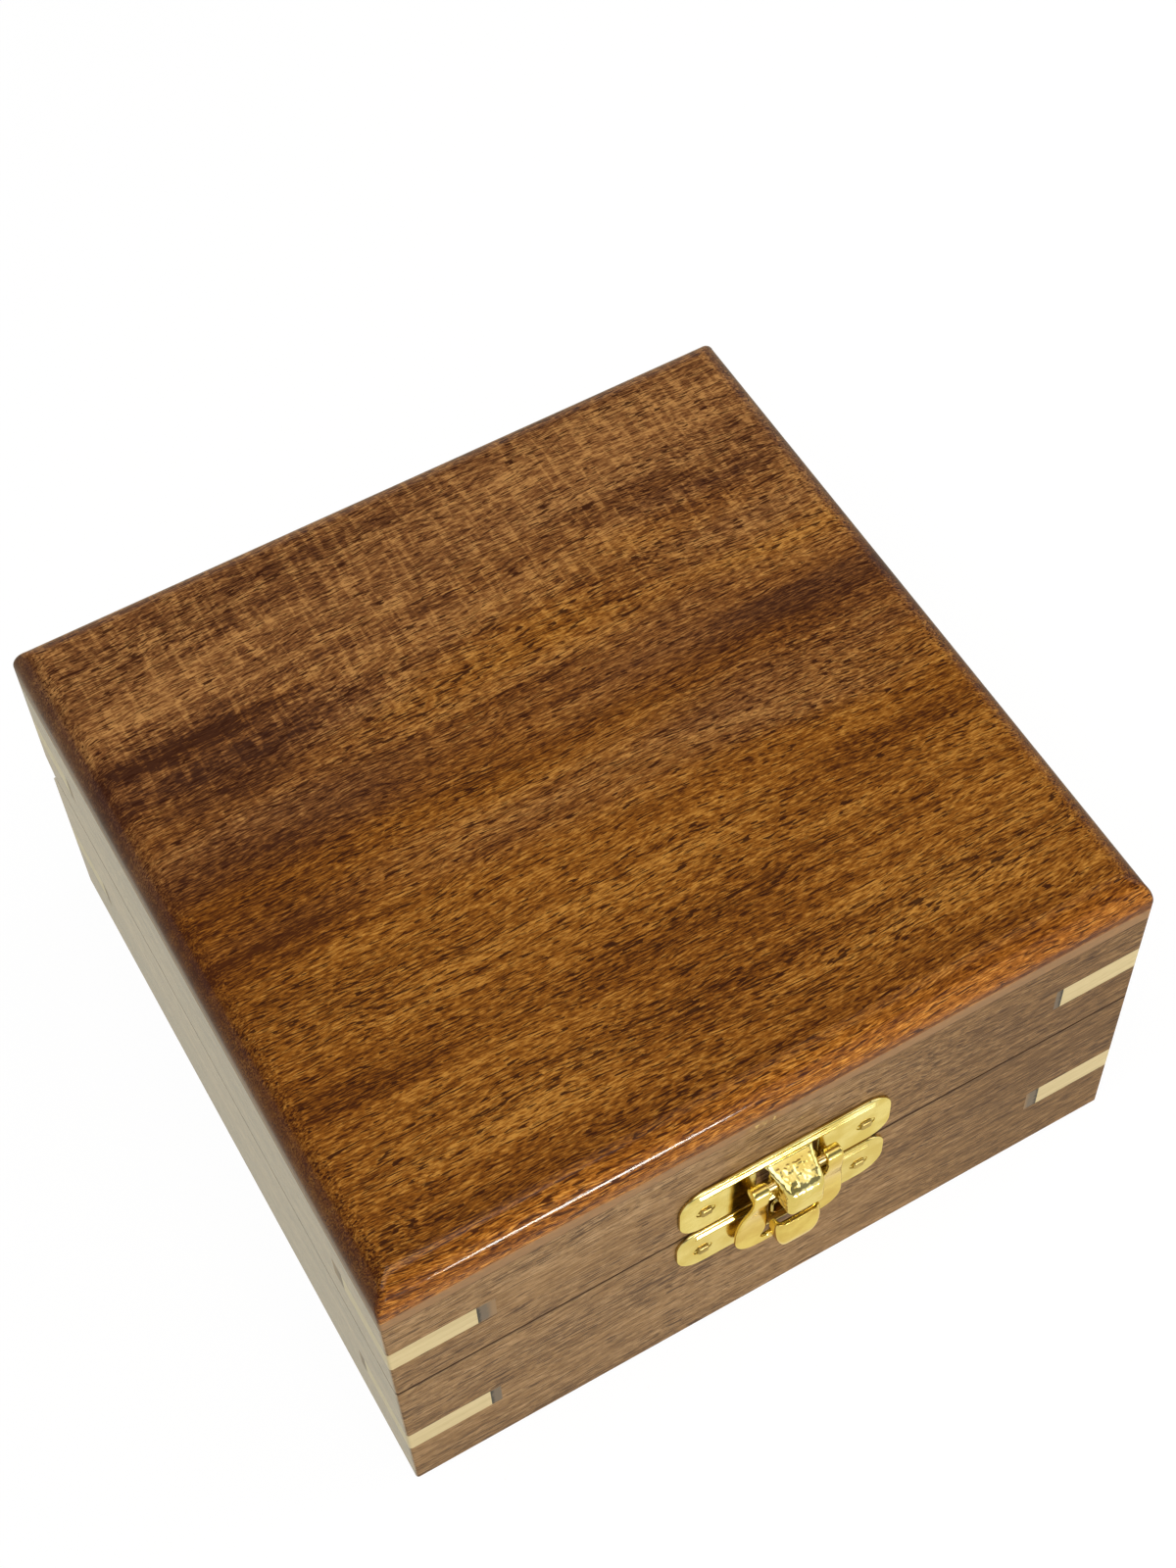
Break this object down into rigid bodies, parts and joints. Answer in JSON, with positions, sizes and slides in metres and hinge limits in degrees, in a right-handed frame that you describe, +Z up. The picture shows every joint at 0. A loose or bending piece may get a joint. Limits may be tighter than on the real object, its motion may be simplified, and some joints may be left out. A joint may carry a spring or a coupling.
{
  "type": "hinged wooden box with latch",
  "caption": "Square walnut presentation box with mitred, keyed corners, a hinged lid, a swinging brass latch and a tray with a round instrument well.",
  "frame": {"origin": "centre of the box's underside, where it stands", "axes": "+Z up, +X along the front from left to right, the latch face towards -Y and the hinges towards +Y"},
  "size_m": [0.127, 0.1316, 0.0692],
  "materials": {
    "side_wood": "satin walnut",
    "top_wood": "gloss lacquered walnut",
    "panel_wood": "oiled",
    "key_wood": "satin pale hardwood",
    "filler": "satin dark filler",
    "tray_lining": "flocked",
    "pad_lining": "velvet",
    "hinge_brass": "polished",
    "hinge_pin_brass": "drawn",
    "screw_brass": "polished",
    "latch_brass": "polished",
    "latch_pin_brass": "drawn",
    "nail_brass": "satin"
  },
  "bodies": {
    "base": {"base_front": "side_wood", "base_back": "side_wood", "base_left": "side_wood", "base_right": "side_wood", "base_bottom": "panel_wood", "base_key_front_left": "key_wood", "base_key_front_right": "key_wood", "base_key_back_right": "key_wood", "base_key_back_left": "key_wood", "base_key_fillers": "filler", "tray_insert": "tray_lining", "hinge_left_base_leaf": "hinge_brass", "hinge_right_base_leaf": "hinge_brass", "hinge_left_pin": "hinge_pin_brass", "hinge_right_pin": "hinge_pin_brass", "hinge_base_screws": "screw_brass", "latch_base_plate": "latch_brass", "latch_base_nails": "nail_brass"},
    "lid": {"lid_front": "side_wood", "lid_back": "side_wood", "lid_left": "side_wood", "lid_right": "side_wood", "lid_top": "top_wood", "lid_pad": "pad_lining", "lid_key_front_left": "key_wood", "lid_key_front_right": "key_wood", "lid_key_back_right": "key_wood", "lid_key_back_left": "key_wood", "lid_key_fillers": "filler", "hinge_left_lid_leaf": "hinge_brass", "hinge_right_lid_leaf": "hinge_brass", "hinge_lid_screws": "screw_brass", "latch_lid_plate": "latch_brass", "latch_lid_nails": "nail_brass", "latch_pin": "latch_pin_brass"},
    "lever": {"latch_lever": "latch_brass"}
  },
  "joints": [
    {"name": "lid_hinge", "type": "hinge", "parent": "base", "child": "lid", "pos_m": [0, 0.0595, 0.0359], "axis": [-1, 0, 0], "range_deg": [0, 100]},
    {"name": "latch_swing", "type": "hinge", "parent": "lid", "child": "lever", "pos_m": [0.0011, -0.0655, 0.0454], "axis": [-1, 0, 0], "range_deg": [0, 110]}
  ]
}
